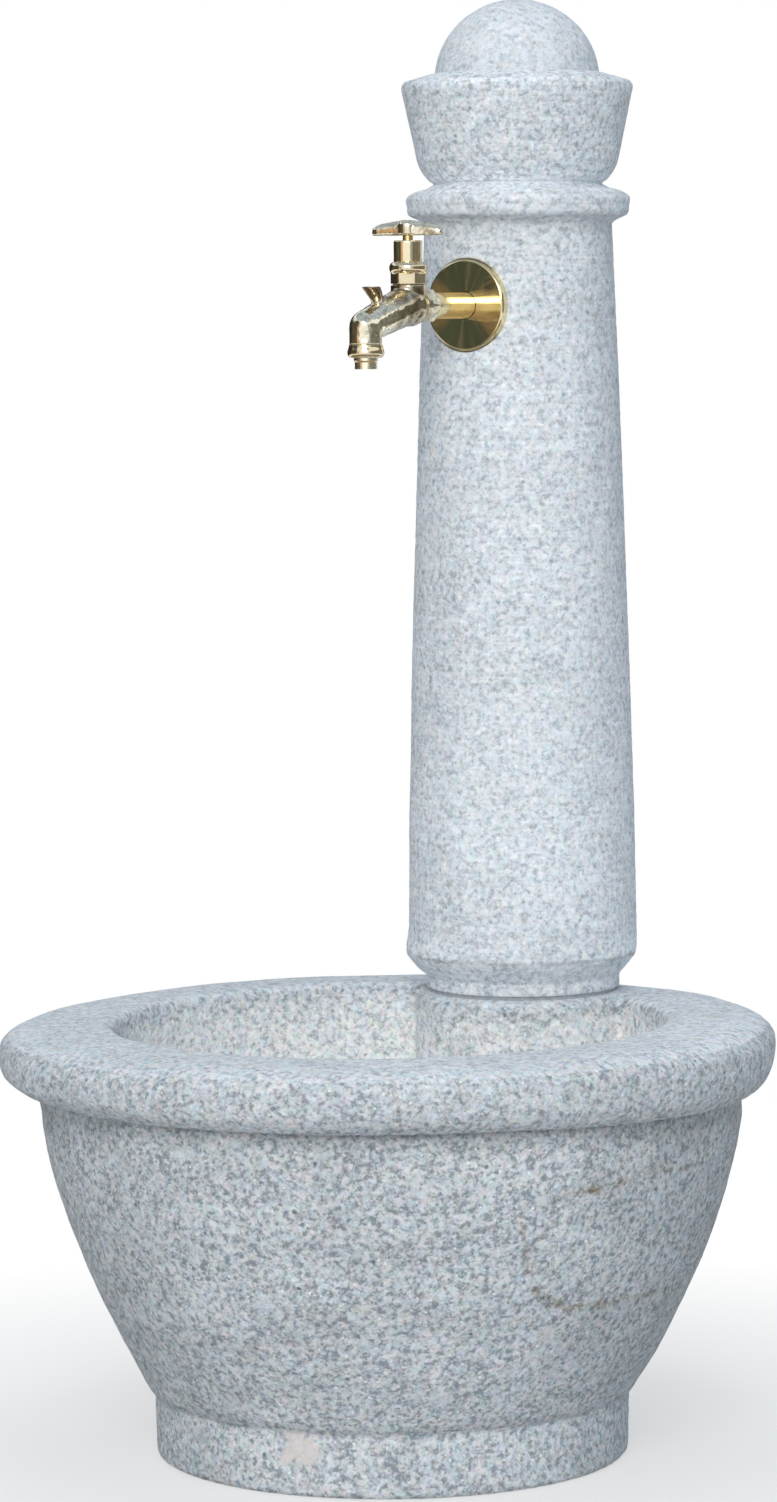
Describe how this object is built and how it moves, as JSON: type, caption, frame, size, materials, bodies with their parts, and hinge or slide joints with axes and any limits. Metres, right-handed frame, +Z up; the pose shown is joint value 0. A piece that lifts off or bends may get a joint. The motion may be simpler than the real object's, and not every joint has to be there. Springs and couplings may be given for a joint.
{
  "type": "stone garden fountain",
  "caption": "Granite garden fountain: a round rolled-rim bowl with a turned column standing on its rim, topped by a ball, and a brass bib tap with a T handle.",
  "frame": {"origin": "middle of the underside of the foot, on the ground", "axes": "+Z up; +Y from the middle of the bowl towards the column, so the tap points along -Y"},
  "size_m": [0.5999, 0.5998, 1.1305],
  "materials": {
    "granite_basin": "bush-hammered light grey-blue granite, fine black and white speckle, faint rust veins",
    "granite_column": "fine-tooled light grey-blue granite with faint turned lines",
    "mortar": "fine grey bedding mortar",
    "pin_steel": "plain stainless pin",
    "galvanised_pipe": "dull zinc",
    "seal_rubber": "soft black rubber",
    "fibre_seal": "pressed fibre",
    "polished_brass": "polished, slightly worn",
    "turned_brass": "lathe-turned, fine concentric marks",
    "plain_brass": "machined",
    "stainless_waste": "brushed stainless"
  },
  "bodies": {
    "fountain": {"basin": "granite_basin", "column_shaft": "granite_column", "capital": "granite_column", "ball_finial": "granite_column", "column_bed": "mortar", "capital_bed": "mortar", "finial_bed": "mortar", "column_pins": "pin_steel", "capital_pins": "pin_steel", "finial_pin": "pin_steel", "riser_pipe": "galvanised_pipe", "pipe_elbow": "galvanised_pipe", "pipe_grommets": "seal_rubber", "inlet_extension": "polished_brass", "rosette": "turned_brass", "tap_body": "polished_brass", "bonnet_gasket": "fibre_seal", "bonnet": "polished_brass", "gland_packing": "fibre_seal", "gland_nut": "polished_brass", "outlet_gasket": "seal_rubber", "outlet_nozzle": "polished_brass", "outlet_nut": "polished_brass", "waste_flange": "stainless_waste", "waste_seal_upper": "seal_rubber", "waste_seal_lower": "seal_rubber", "waste_tail": "stainless_waste", "waste_screw": "stainless_waste"},
    "valve": {"jumper": "plain_brass", "valve_washer": "seal_rubber", "washer_nut": "plain_brass"},
    "handle_spindle": {"spindle": "plain_brass", "handle": "polished_brass", "handle_screw": "plain_brass"}
  },
  "joints": [
    {"name": "valve_lift", "type": "slide", "parent": "fountain", "child": "valve", "axis": [0, 0, 1], "range_m": [0, 0.005]},
    {"name": "handle_turn", "type": "hinge", "parent": "valve", "child": "handle_spindle", "pos_m": [0, 0.03416, 0.889], "axis": [0, 0, 1], "range_deg": [0, 900]}
  ],
  "couplings": [
    {"joint": "handle_turn", "follows": "valve_lift", "rad_per_m": 3141.5}
  ]
}
